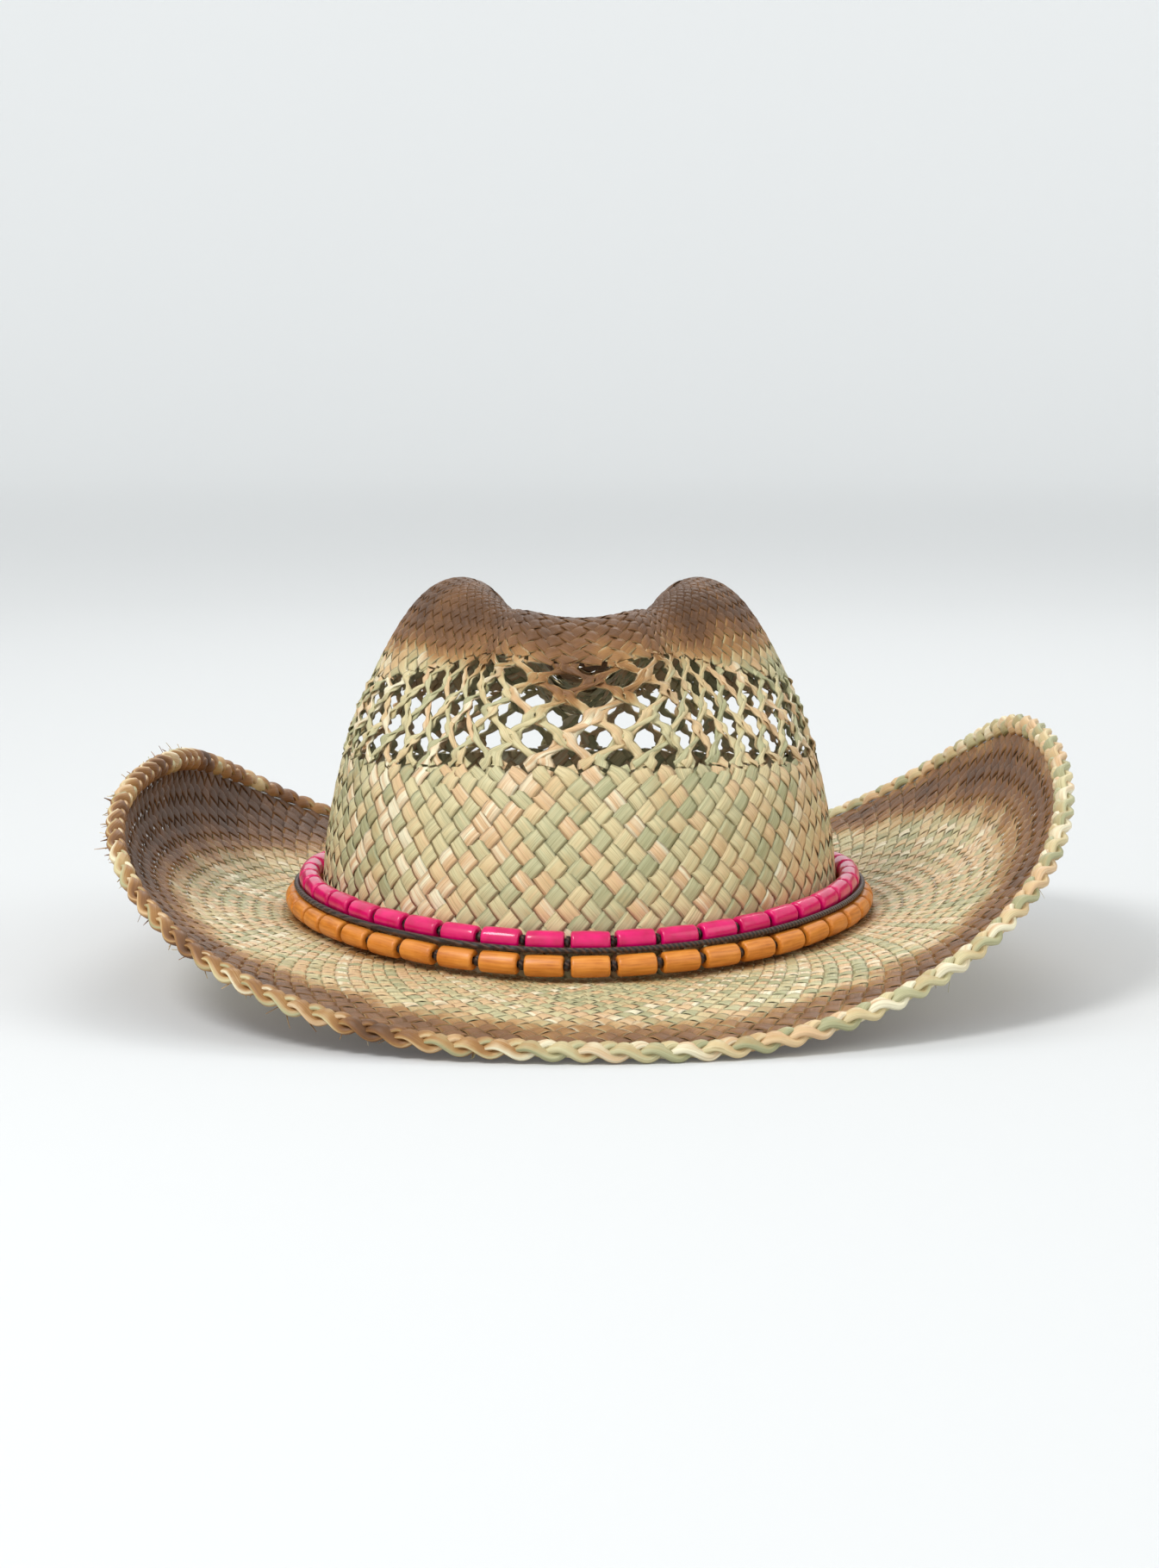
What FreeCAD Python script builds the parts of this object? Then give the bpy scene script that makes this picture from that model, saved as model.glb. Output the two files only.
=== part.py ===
import FreeCAD, Part
import math
import os

os.makedirs("parts", exist_ok=True)

# Woven straw cowboy hat with a two-row beaded hatband. Millimetres, +Z up.
# The wearer's face looks along -Y, and +X is the side with the higher brim.
# The hat stands on the front and back of its brim, which touch z = 0.

# ---- driving dimensions ------------------------------------------------------

HEAD_HALF_WIDTH = 86.0      # outside of the crown at the brim
HEAD_HALF_LENGTH = 106.0
BASE_RISE = 6.0             # how much higher the crown's foot is at the sides than at the front
CROWN_HEIGHT = 106.5
STRAW = 1.8                 # thickness of the close plaiting

# Crown section, from the foot to the middle of the top: share of the plan, share of the height.
CROWN_SECTION = [(1.0, 0.0), (1.0, 0.07), (1.0, 0.2), (0.94, 0.46), (0.845, 0.70),
                 (0.68, 0.96), (0.50, 1.08), (0.25, 1.06), (0.0, 1.06)]
SECTION_DEGREE = 3
CROWN_DROP_BACK = 12.0      # the crown is lower behind
DROP_START = -10.0          # where the top starts to fall, along Y, and over what length
DROP_RUN = 90.0
CREASE_DEPTH = 36.0         # trough along the middle of the top
CREASE_HALF_WIDTH = 22.0
CREASE_FLATNESS = 2.3       # 2 is a bell-shaped trough, and more is flatter at the bottom
CREASE_START = 0.72         # share of the height where the trough starts, and the share it takes
CREASE_RISE = 0.3
CREASE_LIP = 0.2            # share of the depth left at the pinched front
LIP_BEHIND_FRONT = 42.0     # from the front of the foot back to the lip
CREASE_RUN = 60.0           # length over which the crease gets its full depth
DENT_DEPTH = 0.20           # finger dents each side of the pinch, a share of the plan
DENT_ANGLE = 40.0           # degrees round from the front
DENT_TO_FRONT = 10.0
DENT_TO_SIDE = 20.0
DENT_START = 0.45           # share of the height where the dents start
DENT_MIDDLE = 0.5           # share of the plan inside which they fade out

VENT_LOW = 0.355            # where the openwork starts along the crown section, at the back
VENT_HIGH = 0.505           # and where it ends
VENT_LOW_FRONT = 0.415      # the same at the front, where it is taller and stands higher
VENT_HIGH_FRONT = 0.625
VENT_FRONT_FALL = 3         # how fast the extra height fades away from the front
CROWN_MIDDLE = 0.965        # the top is closed by a small cap here
VENT_STRIPS = 40            # in each of the two leaning families
VENT_STRIP_WIDTH = 3.2
VENT_LAYER_GAP = 0.15
VENT_END_GAP = 0.004        # a share of the strip's length
VENT_LEAN = 1.5             # strip pitches that a strip leans over

BRIM_FRONT = 82.0           # width of the brim, measured along the plaiting
BRIM_RIGHT = 92.5
BRIM_LEFT = 82.0
FRONT_START = 0.0           # slope of the brim in degrees at the crown and at the edge
FRONT_END = -11.5
SIDE_START = 4.0
RIGHT_END = 80.0
LEFT_END = 110.0
RIGHT_CURL = 1.2            # how late the slope builds up
LEFT_CURL = 2.3
ROLL_CENTRE = 12.0          # the roll is highest this many degrees behind the middle
ROLL_FRONT = 94.0
ROLL_BACK = 78.0
SIDE_BLEND = 0.8            # share of the head's width over which left turns to right
SIDE_WIDTH_FALL = 3         # how fast the side width fades towards the front and back
BRIM_SLICES = 24            # slope steps that the brim's height is summed over
BRIM_RING_FALL = 1.2        # rings of the brim stand closer near the crown

BRAID_RADIUS = 3.1          # plaited edge
WIRE_RADIUS = 1.0           # shaping wire, between the brim's edge and the braid
WIRE_CLEARANCE = 0.1

SWEATBAND_HEIGHT = 30.0
SWEATBAND_THICKNESS = 1.2
SWEATBAND_CLEARANCE = 0.05
SWEATBAND_FOOT = 2.0        # the band starts this much above the crown's foot
STITCHES = 48
STITCH_LENGTH = 4.0
STITCH_RADIUS = 0.4
STITCH_DOWN = 3.0           # from the band's upper edge
STITCH_CLEARANCE = 0.1

BEAD_RADIUS = 3.5
BEAD_LENGTH = 12.4
BEAD_EDGE = 0.9
BEAD_BORE = 1.3
PINK_GAP = 1.5              # least room for a knot between two beads
ORANGE_GAP = 1.9
PINK_TIE_SLOTS = 1          # places at the back that the tie knot takes from each row
ORANGE_TIE_SLOTS = 2
ROW_ARCS = 11               # each row is kept as this many runs of beads
BAND_CLEARANCE = 0.6        # between the hat and the beads
ROW_GAP = 1.3               # between the two rows of beads
ROW_LEAN = 33.0             # degrees that the lower row stands out from straight below the upper
FIRST_BEAD = 3.4            # the front bead's middle, to the right of the crown's front
CORD_RADIUS = 0.9
CORD_CLEARANCE = 0.1
MIDDLE_CORD_CLEARANCE = 0.4     # from the beads of both rows
KNOT_RADIUS = 1.9
KNOT_SHARE = 0.72           # of the gap between two beads
TIE_RADIUS = 3.7            # the tie is a fat turned knot, rounded at its ends
TIE_LENGTH = 7.4
TIE_EDGE = 2.0

RING_POINTS = 48            # points of each ring that the walls are lofted through
WALL_RINGS = 8
TOP_RINGS = 14
BRIM_RINGS = 12
BAND_RINGS = 4
STRIP_POINTS = 6
SMALL_ANGLE = 0.01          # radians, for directions along a ring
SMALL_SHARE = 1e-3          # for the slope of a surface
ROW_POINTS = 1440           # that a row's length is summed over
BORE_OVERRUN = 1.0          # a bore's tool starts this far outside
HEIGHT_STEPS = 24           # halvings that find a height on the crown
TUBE_STATIONS = 120         # poles along and around a closed cord, wire or braid
TUBE_SIDES = 12

# ---- worked out ----------------------------------------------------------------

LIP_Y = -(HEAD_HALF_LENGTH - LIP_BEHIND_FRONT)
VENT_STRIP_THICKNESS = (STRAW - VENT_LAYER_GAP) / 2.0
WIRE_REACH = WIRE_CLEARANCE + WIRE_RADIUS       # from the brim's edge to the wire's middle
BRAID_REACH = 2.0 * WIRE_REACH + BRAID_RADIUS   # and to the braid's middle
ROW_DROP = (2.0 * BEAD_RADIUS + ROW_GAP) * math.cos(math.radians(ROW_LEAN))
ROW_STEP = (2.0 * BEAD_RADIUS + ROW_GAP) * math.sin(math.radians(ROW_LEAN))
PINK_OFFSET = BEAD_RADIUS + BAND_CLEARANCE
ORANGE_OFFSET = PINK_OFFSET + ROW_STEP
BRIM_UNDER_ROW = ORANGE_OFFSET * math.tan(math.radians(SIDE_START))
ORANGE_HEIGHT = BEAD_RADIUS + BAND_CLEARANCE + BRIM_UNDER_ROW
PINK_HEIGHT = ORANGE_HEIGHT + ROW_DROP
RING = [math.radians(360.0 * i / RING_POINTS) for i in range(RING_POINTS)]


def ease(share):
    share = min(max(share, 0.0), 1.0)
    return share * share * (3.0 - 2.0 * share)


def spline(poles, u):
    """Point at u, 0 to 1, on an even clamped B-spline, by de Boor's steps."""
    spans = len(poles) - SECTION_DEGREE
    inner = [i / spans for i in range(spans + 1)]
    knots = [0.0] * SECTION_DEGREE + inner + [1.0] * SECTION_DEGREE
    span = min(int(u * spans), spans - 1) + SECTION_DEGREE
    d = [list(poles[i + span - SECTION_DEGREE]) for i in range(SECTION_DEGREE + 1)]
    for step in range(1, SECTION_DEGREE + 1):
        for i in range(SECTION_DEGREE, step - 1, -1):
            low = knots[i + span - SECTION_DEGREE]
            share = (u - low) / (knots[i + 1 + span - step] - low)
            d[i] = [(1.0 - share) * a + share * b for a, b in zip(d[i - 1], d[i])]
    return d[SECTION_DEGREE]


def from_front(angle):
    return abs((math.degrees(angle) + 270.0) % 360.0 - 180.0)


def foot_rise(angle):
    """Height of the brim at the crown, above its height at the front and back."""
    return BASE_RISE * math.cos(angle) ** 2


def crown_point(angle, u):
    """Outside of the crown: angle round the head, u from the foot (0) to the middle of the top (1)."""
    plan, rise = spline(CROWN_SECTION, u)
    round_front = from_front(angle)
    spread = DENT_TO_FRONT if round_front < DENT_ANGLE else DENT_TO_SIDE
    dent = DENT_DEPTH * math.exp(-0.5 * ((round_front - DENT_ANGLE) / spread) ** 2)
    dent *= ease((rise - DENT_START) / DENT_START) * ease(plan / DENT_MIDDLE)
    x = HEAD_HALF_WIDTH * plan * (1.0 - dent) * math.cos(angle)
    y = HEAD_HALF_LENGTH * plan * (1.0 - dent) * math.sin(angle)
    drop = CROWN_DROP_BACK * ease((y - DROP_START) / DROP_RUN)
    top = foot_height + BASE_RISE + CROWN_HEIGHT - drop
    foot = foot_height + foot_rise(angle) - STRAW
    depth = CREASE_DEPTH * (CREASE_LIP + (1.0 - CREASE_LIP) * ease((y - LIP_Y) / CREASE_RUN))
    trough = math.exp(-abs(x / CREASE_HALF_WIDTH) ** CREASE_FLATNESS)
    crease = depth * ease((rise - CREASE_START) / CREASE_RISE) * trough
    return FreeCAD.Vector(x, y, foot + (top - foot) * rise - crease)


def vent_place(angle, share):
    """Place along the crown section, from the foot of the openwork (0) to its top (1)."""
    front = ((1.0 - math.sin(angle)) / 2.0) ** VENT_FRONT_FALL
    low = VENT_LOW + (VENT_LOW_FRONT - VENT_LOW) * front
    high = VENT_HIGH + (VENT_HIGH_FRONT - VENT_HIGH) * front
    return low + (high - low) * share


def plan_out(angle):
    """Level direction straight out from the crown's foot."""
    out = FreeCAD.Vector(HEAD_HALF_LENGTH * math.cos(angle), HEAD_HALF_WIDTH * math.sin(angle), 0)
    return out.normalize()


def roll(angle):
    """0 at the front and back of the brim, 1 where it is rolled up most."""
    side = math.degrees(math.atan2(math.sin(angle), abs(math.cos(angle)))) - ROLL_CENTRE
    if side > 0.0:
        return ease(1.0 - side / ROLL_BACK)
    return ease(1.0 + side / ROLL_FRONT)


def brim_point(angle, r):
    """Upper face of the brim: r from the crown's foot (0) to the edge (1)."""
    right = ease(0.5 + math.cos(angle) / SIDE_BLEND)
    rolled = roll(angle)
    side_width = BRIM_LEFT + (BRIM_RIGHT - BRIM_LEFT) * right
    width = BRIM_FRONT + (side_width - BRIM_FRONT) * rolled ** SIDE_WIDTH_FALL
    start = FRONT_START + (SIDE_START - FRONT_START) * rolled
    end = FRONT_END + (LEFT_END + (RIGHT_END - LEFT_END) * right - FRONT_END) * rolled
    curl = LEFT_CURL + (RIGHT_CURL - LEFT_CURL) * right
    out = 0.0
    up = 0.0
    slice_length = width * r / BRIM_SLICES
    for i in range(BRIM_SLICES):
        slope = math.radians(start + (end - start) * ((i + 0.5) / BRIM_SLICES * r) ** curl)
        out += math.cos(slope) * slice_length
        up += math.sin(slope) * slice_length
    foot = FreeCAD.Vector(HEAD_HALF_WIDTH * math.cos(angle), HEAD_HALF_LENGTH * math.sin(angle), 0)
    height = foot_height + foot_rise(angle) + up
    return foot + plan_out(angle) * out + FreeCAD.Vector(0, 0, height)


def inward(surface, angle, u, depth):
    """Point at a depth behind the face of a surface given by angle and u.

    The normal points away from the head on the crown, and down on the brim, where depths are negative.
    """
    round_it = surface(angle + SMALL_SHARE, u) - surface(angle - SMALL_SHARE, u)
    u_low = max(u - SMALL_SHARE, 0.0)
    u_high = min(u + SMALL_SHARE, 1.0)
    along = surface(angle, u_high) - surface(angle, u_low)
    normal = round_it.cross(along).normalize()
    return surface(angle, u) - normal * depth


def past_edge(angle, reach):
    """A point straight out from the middle of the brim's edge."""
    edge = brim_point(angle, 1.0)
    under = inward(brim_point, angle, 1.0, -STRAW)
    ahead = (edge - brim_point(angle, 1.0 - SMALL_SHARE)).normalize()
    return (edge + under) * 0.5 + ahead * reach


# Height of the crown's foot. It is measured from 0 first, and then the lowest part of the braid
# is brought to rest on z = 0.
foot_height = 0.0
foot_height = BRAID_RADIUS - min(past_edge(angle, BRAID_REACH).z for angle in RING)


# ---- ways to make solids --------------------------------------------------------


def ring_wire(points):
    curve = Part.BSplineCurve()
    curve.interpolate(Points=points, PeriodicFlag=True)
    return Part.Wire([curve.toShape()])


def open_edge(points):
    curve = Part.BSplineCurve()
    curve.interpolate(points)
    return curve.toShape()


def skin(rings):
    return Part.makeLoft([ring_wire(points) for points in rings], False, False)


def closed_solid(faces):
    shell = Part.makeShell(faces)
    shell.sewShape()
    solid = Part.makeSolid(Part.Shell(shell.Faces))
    if solid.Volume < 0:
        solid.reverse()
    return solid


def shell_solid(surface, places, near=0.0, far=STRAW):
    """Closed wall between two depths behind a surface, through rings at the given places."""
    outer = [[inward(surface, angle, u, near) for angle in RING] for u in places]
    inner = [[inward(surface, angle, u, far) for angle in RING] for u in places]
    faces = skin(outer).Faces + skin(inner).Faces
    for end in (0, -1):
        faces += Part.makeRuledSurface(ring_wire(outer[end]), ring_wire(inner[end])).Faces
    return closed_solid(faces)


def steps_between(low, high, count):
    return [low + (high - low) * i / count for i in range(count + 1)]


def loop_tube(point_at, radius):
    """Closed tube round a loop, as one surface that is periodic along and around."""
    middles = [point_at(2.0 * math.pi * i / TUBE_STATIONS) for i in range(TUBE_STATIONS)]
    turns = [2.0 * math.pi * i / TUBE_SIDES for i in range(TUBE_SIDES)]
    # An even cubic runs inside its poles by this much, so the poles stand further out.
    pole_radius = radius * 3.0 / (2.0 + math.cos(turns[1]))
    poles = []
    for i, middle in enumerate(middles):
        ahead = middles[(i + 1) % TUBE_STATIONS] - middles[i - 1]
        side = ahead.cross(FreeCAD.Vector(0, 0, 1)).normalize()
        up = side.cross(ahead).normalize()
        spokes = [side * math.cos(turn) + up * math.sin(turn) for turn in turns]
        poles.append([middle + spoke * pole_radius for spoke in spokes])
    surface = Part.BSplineSurface()
    along_knots = [float(i) for i in range(TUBE_STATIONS + 1)]
    around_knots = [float(i) for i in range(TUBE_SIDES + 1)]
    surface.buildFromPolesMultsKnots(poles, [1] * len(along_knots), [1] * len(around_knots),
                                     along_knots, around_knots, True, True, 3, 3)
    return closed_solid([surface.toShape()])


def save(name, solids):
    for solid in solids:
        if not solid.isValid() or solid.Volume <= 0.0:
            print("check", name, solid.isValid(), round(solid.Volume, 1))
    shape = solids[0] if len(solids) == 1 else Part.makeCompound(solids)
    shape.exportStep(os.path.join("parts", name + ".step"))


# ---- crown ------------------------------------------------------------------------


def wall_point(angle, share):
    return crown_point(angle, vent_place(angle, 0.0) * share)


def vent_point(angle, share):
    return crown_point(angle, vent_place(angle, share))


def top_point(angle, share):
    foot = vent_place(angle, 1.0)
    return crown_point(angle, foot + (CROWN_MIDDLE - foot) * share)


def crown_wall():
    return [shell_solid(wall_point, steps_between(0.0, 1.0, WALL_RINGS))]


def crown_top():
    """Close plaiting above the openwork, with the crease and the pinch, and its closing cap."""
    places = steps_between(0.0, 1.0, TOP_RINGS)
    outer = [[inward(top_point, angle, share, 0.0) for angle in RING] for share in places]
    inner = [[inward(top_point, angle, share, STRAW) for angle in RING] for share in places]
    faces = skin(outer).Faces + skin(inner).Faces
    faces += Part.makeRuledSurface(ring_wire(outer[0]), ring_wire(inner[0])).Faces
    for rings in (outer, inner):
        rim = ring_wire(rings[-1])
        faces.append(Part.makeFilledFace(rim.Edges))
    return [closed_solid(faces)]


def vent_strip(first_angle, lean, near):
    """One narrow strip that leans across the openwork, between its four long edges."""
    far = near + VENT_STRIP_THICKNESS
    corners = [[], [], [], []]
    for share in steps_between(VENT_END_GAP, 1.0 - VENT_END_GAP, STRIP_POINTS):
        angle = first_angle + lean * share
        beside = vent_point(angle + SMALL_ANGLE, share) - vent_point(angle, share)
        half = SMALL_ANGLE * VENT_STRIP_WIDTH / 2.0 / beside.Length
        places = ((-half, near), (half, near), (half, far), (-half, far))
        for line, (turn, depth) in zip(corners, places):
            line.append(inward(vent_point, angle + turn, share, depth))
    edges = [open_edge(line) for line in corners]
    faces = [Part.makeRuledSurface(edges[i - 1], edges[i]) for i in range(4)]
    for end in (0, -1):
        outer = Part.makeLine(corners[0][end], corners[1][end])
        inner = Part.makeLine(corners[3][end], corners[2][end])
        faces.append(Part.makeRuledSurface(outer, inner))
    return closed_solid(faces)


def vent_strips(direction, near):
    pitch = 2.0 * math.pi / VENT_STRIPS
    lean = direction * VENT_LEAN * pitch
    return [vent_strip(i * pitch - lean / 2.0, lean, near) for i in range(VENT_STRIPS)]


# ---- brim -------------------------------------------------------------------------


def brim():
    """The plaiting lies below brim_point, on the side that its normal points to."""
    places = [r ** BRIM_RING_FALL for r in steps_between(0.0, 1.0, BRIM_RINGS)]
    return [shell_solid(brim_point, places, 0.0, -STRAW)]


def edge_wire():
    return [loop_tube(lambda angle: past_edge(angle, WIRE_REACH), WIRE_RADIUS)]


def edge_braid():
    return [loop_tube(lambda angle: past_edge(angle, BRAID_REACH), BRAID_RADIUS)]


# ---- sweatband --------------------------------------------------------------------


def crown_at_height(angle, height):
    """u at which the crown's wall stands this much above its foot."""
    low = 0.0
    high = vent_place(angle, 0.0)
    foot = foot_height + foot_rise(angle)
    for _ in range(HEIGHT_STEPS):
        middle = (low + high) / 2.0
        if crown_point(angle, middle).z - foot < height:
            low = middle
        else:
            high = middle
    return (low + high) / 2.0


def sweatband_point(angle, share):
    u = crown_at_height(angle, SWEATBAND_FOOT + SWEATBAND_HEIGHT * share)
    return inward(crown_point, angle, u, STRAW + SWEATBAND_CLEARANCE)


def sweatband():
    return [shell_solid(sweatband_point, steps_between(0.0, 1.0, BAND_RINGS), 0.0, SWEATBAND_THICKNESS)]


def sweatband_stitching():
    """Short thread bars lying on the inside of the sweatband."""
    share = 1.0 - STITCH_DOWN / SWEATBAND_HEIGHT
    depth = SWEATBAND_THICKNESS + STITCH_CLEARANCE + STITCH_RADIUS
    bars = []
    for i in range(STITCHES):
        angle = 2.0 * math.pi * i / STITCHES
        middle = inward(sweatband_point, angle, share, depth)
        ahead = (sweatband_point(angle + SMALL_ANGLE, share) - sweatband_point(angle, share)).normalize()
        start = middle - ahead * STITCH_LENGTH / 2.0
        bars.append(Part.makeCylinder(STITCH_RADIUS, STITCH_LENGTH, start, ahead))
    return bars


# ---- hatband ----------------------------------------------------------------------


def band_point(angle, offset, height):
    foot = FreeCAD.Vector(HEAD_HALF_WIDTH * math.cos(angle), HEAD_HALF_LENGTH * math.sin(angle), 0)
    return foot + plan_out(angle) * offset + FreeCAD.Vector(0, 0, foot_height + foot_rise(angle) + height)


def slot_angles(offset, height, least_pitch):
    """Angles of evenly spaced half slots along a row, from the front bead round to the right."""
    turns = steps_between(0.0, 2.0 * math.pi, ROW_POINTS)
    angles = [turn - math.pi / 2.0 for turn in turns]
    points = [band_point(angle, offset, height) for angle in angles]
    lengths = [0.0]
    for before, after in zip(points, points[1:]):
        lengths.append(lengths[-1] + (after - before).Length)
    slots = int(lengths[-1] / least_pitch)
    pitch = lengths[-1] / slots
    places = []
    i = 0
    for half_slot in range(2 * slots):
        wanted = (FIRST_BEAD + half_slot * pitch / 2.0) % lengths[-1]
        while lengths[i + 1] < wanted or lengths[i] > wanted:
            i = (i + 1) % ROW_POINTS
        share = (wanted - lengths[i]) / (lengths[i + 1] - lengths[i])
        places.append(angles[i] + (angles[i + 1] - angles[i]) * share)
    return places, pitch


def along_row(angle, offset, height):
    after = band_point(angle + SMALL_ANGLE, offset, height)
    before = band_point(angle - SMALL_ANGLE, offset, height)
    return (after - before).normalize()


def bored(body, middle, ahead, length, radius):
    start = middle - ahead * (length / 2.0 + BORE_OVERRUN)
    return body.cut(Part.makeCylinder(radius, length + 2.0 * BORE_OVERRUN, start, ahead))


def bead(angle, offset, height, length):
    middle = band_point(angle, offset, height)
    ahead = along_row(angle, offset, height)
    start = middle - ahead * length / 2.0
    body = Part.makeCylinder(BEAD_RADIUS, length, start, ahead)
    ends = [edge for edge in body.Edges if edge.Closed]
    body = body.makeFillet(BEAD_EDGE, ends)
    return bored(body, middle, ahead, length, BEAD_BORE)


def knot(angle, offset, height, length):
    middle = band_point(angle, offset, height)
    ahead = along_row(angle, offset, height)
    start = middle - ahead * length / 2.0
    body = Part.makeCylinder(KNOT_RADIUS, length, start, ahead)
    return bored(body, middle, ahead, length, CORD_RADIUS + CORD_CLEARANCE)


def row(colour, offset, height, least_gap, tie_slots):
    """One row of the band: beads in every slot but the tie's at the back, and a knot between each two."""
    places, pitch = slot_angles(offset, height, BEAD_LENGTH + least_gap)
    slots = len(places) // 2
    first_tie = slots // 2 - (tie_slots - 1) // 2
    taken = [slot for slot in range(slots) if not first_tie <= slot < first_tie + tie_slots]
    beads = [bead(places[2 * slot], offset, height, BEAD_LENGTH) for slot in taken]
    for arc in range(ROW_ARCS):
        first = arc * len(beads) // ROW_ARCS
        last = (arc + 1) * len(beads) // ROW_ARCS
        save("%s_beads_arc_%02d" % (colour, arc + 1), beads[first:last])
    between = [slot for slot in taken if slot + 1 in taken or slot == slots - 1]
    knot_length = (pitch - BEAD_LENGTH) * KNOT_SHARE
    knots = [knot(places[2 * slot + 1], offset, height, knot_length) for slot in between]
    save(colour + "_row_knots", knots)
    cord = loop_tube(lambda angle: band_point(angle, offset, height), CORD_RADIUS)
    save(colour + "_row_cord", [cord])


def middle_cord():
    """Cord in the valley between the rows, on the side away from the crown."""
    rows_apart = math.hypot(ROW_STEP, ROW_DROP)
    reach = BEAD_RADIUS + CORD_RADIUS + MIDDLE_CORD_CLEARANCE
    proud = math.sqrt(max(reach ** 2 - (rows_apart / 2.0) ** 2, 0.0))
    offset = PINK_OFFSET + ROW_STEP / 2.0 + proud * ROW_DROP / rows_apart
    height = ORANGE_HEIGHT + ROW_DROP / 2.0 + proud * ROW_STEP / rows_apart
    return [loop_tube(lambda angle: band_point(angle, offset, height), CORD_RADIUS)]


def tie_knot():
    """Knot at the back that joins the ends of the cords of both rows."""
    knots = []
    back = math.pi / 2.0
    for offset, height in ((PINK_OFFSET, PINK_HEIGHT), (ORANGE_OFFSET, ORANGE_HEIGHT)):
        middle = band_point(back, offset, height)
        ahead = along_row(back, offset, height)
        start = middle - ahead * TIE_LENGTH / 2.0
        body = Part.makeCylinder(TIE_RADIUS, TIE_LENGTH, start, ahead)
        ends = [edge for edge in body.Edges if edge.Closed]
        body = body.makeFillet(TIE_EDGE, ends)
        knots.append(bored(body, middle, ahead, TIE_LENGTH, CORD_RADIUS + CORD_CLEARANCE))
    return knots


save("crown_wall", crown_wall())
save("vent_strips_leaning_right", vent_strips(1.0, 0.0))
save("vent_strips_leaning_left", vent_strips(-1.0, VENT_STRIP_THICKNESS + VENT_LAYER_GAP))
save("crown_top", crown_top())
save("brim", brim())
save("brim_edge_braid", edge_braid())
save("brim_edge_wire", edge_wire())
save("sweatband", sweatband())
save("sweatband_stitching", sweatband_stitching())
row("pink", PINK_OFFSET, PINK_HEIGHT, PINK_GAP, PINK_TIE_SLOTS)
row("orange", ORANGE_OFFSET, ORANGE_HEIGHT, ORANGE_GAP, ORANGE_TIE_SLOTS)
save("cord_between_rows", middle_cord())
save("band_tie_knot", tie_knot())
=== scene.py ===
import math

import bpy
import numpy as np
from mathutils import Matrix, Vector


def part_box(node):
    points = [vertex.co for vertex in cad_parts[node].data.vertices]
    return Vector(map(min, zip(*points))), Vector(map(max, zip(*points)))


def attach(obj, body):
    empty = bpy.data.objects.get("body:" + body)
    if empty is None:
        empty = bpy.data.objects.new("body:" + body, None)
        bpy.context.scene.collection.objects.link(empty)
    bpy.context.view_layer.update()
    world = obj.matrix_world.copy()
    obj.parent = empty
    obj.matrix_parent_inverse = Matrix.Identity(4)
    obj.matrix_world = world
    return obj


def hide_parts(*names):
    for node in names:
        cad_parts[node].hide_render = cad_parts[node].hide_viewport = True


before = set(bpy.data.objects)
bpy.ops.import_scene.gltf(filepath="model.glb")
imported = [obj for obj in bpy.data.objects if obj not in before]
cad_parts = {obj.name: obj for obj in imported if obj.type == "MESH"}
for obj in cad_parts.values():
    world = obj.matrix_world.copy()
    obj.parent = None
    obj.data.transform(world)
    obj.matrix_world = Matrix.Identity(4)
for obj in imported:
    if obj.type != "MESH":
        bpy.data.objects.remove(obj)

# Woven straw cowboy hat. The plait is made strip by strip over the same surfaces that the
# solid walls have: crown_surface and brim_surface give a point for an angle round the head
# and a share along the section. They work in millimetres, and objects are made in metres.

MM = 0.001
TURN = 2.0 * math.pi
SMALL = 1e-3               # step of an angle or a share, for the slope of a surface
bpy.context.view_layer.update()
chance = np.random.default_rng(20)


# ---- sizes of the hat's shape, in millimetres and degrees ----------------------

HEAD_HALF_WIDTH = 86.0
HEAD_HALF_LENGTH = 106.0
BASE_RISE = 6.0
CROWN_HEIGHT = 106.5
STRAW = 1.8
CROWN_SECTION = np.array([(1.0, 0.0), (1.0, 0.07), (1.0, 0.2), (0.94, 0.46), (0.845, 0.70),
                          (0.68, 0.96), (0.50, 1.08), (0.25, 1.06), (0.0, 1.06)])
CROWN_DROP_BACK = 12.0
DROP_START = -10.0
DROP_RUN = 90.0
CREASE_DEPTH = 36.0
CREASE_HALF_WIDTH = 22.0
CREASE_FLATNESS = 2.3
CREASE_START = 0.72
CREASE_RISE = 0.3
CREASE_LIP = 0.2
LIP_Y = -64.0
CREASE_RUN = 60.0
DENT_DEPTH = 0.20
DENT_ANGLE = 40.0
DENT_TO_FRONT = 10.0
DENT_TO_SIDE = 20.0
DENT_START = 0.45
DENT_MIDDLE = 0.5
VENT_LOW = 0.355
VENT_HIGH = 0.505
VENT_LOW_FRONT = 0.415
VENT_HIGH_FRONT = 0.625
VENT_FRONT_FALL = 3
BRIM_FRONT = 82.0
BRIM_RIGHT = 92.5
BRIM_LEFT = 82.0
FRONT_START = 0.0
FRONT_END = -11.5
SIDE_START = 4.0
RIGHT_END = 80.0
LEFT_END = 110.0
RIGHT_CURL = 1.2
LEFT_CURL = 2.3
ROLL_CENTRE = 12.0
ROLL_FRONT = 94.0
ROLL_BACK = 78.0
SIDE_BLEND = 0.8
SIDE_WIDTH_FALL = 3
BRIM_SLICES = 24
BRAID_RADIUS = 3.1
WIRE_REACH = 1.1
BRAID_REACH = 2.0 * WIRE_REACH + BRAID_RADIUS

# The crown wall's solid starts one wall below the brim's height at the head.
FOOT_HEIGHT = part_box("crown_wall")[0][2] / MM + STRAW


def ease(share):
    share = np.clip(share, 0.0, 1.0)
    return share * share * (3.0 - 2.0 * share)


def mix(a, b, share):
    return a + (b - a) * share


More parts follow.
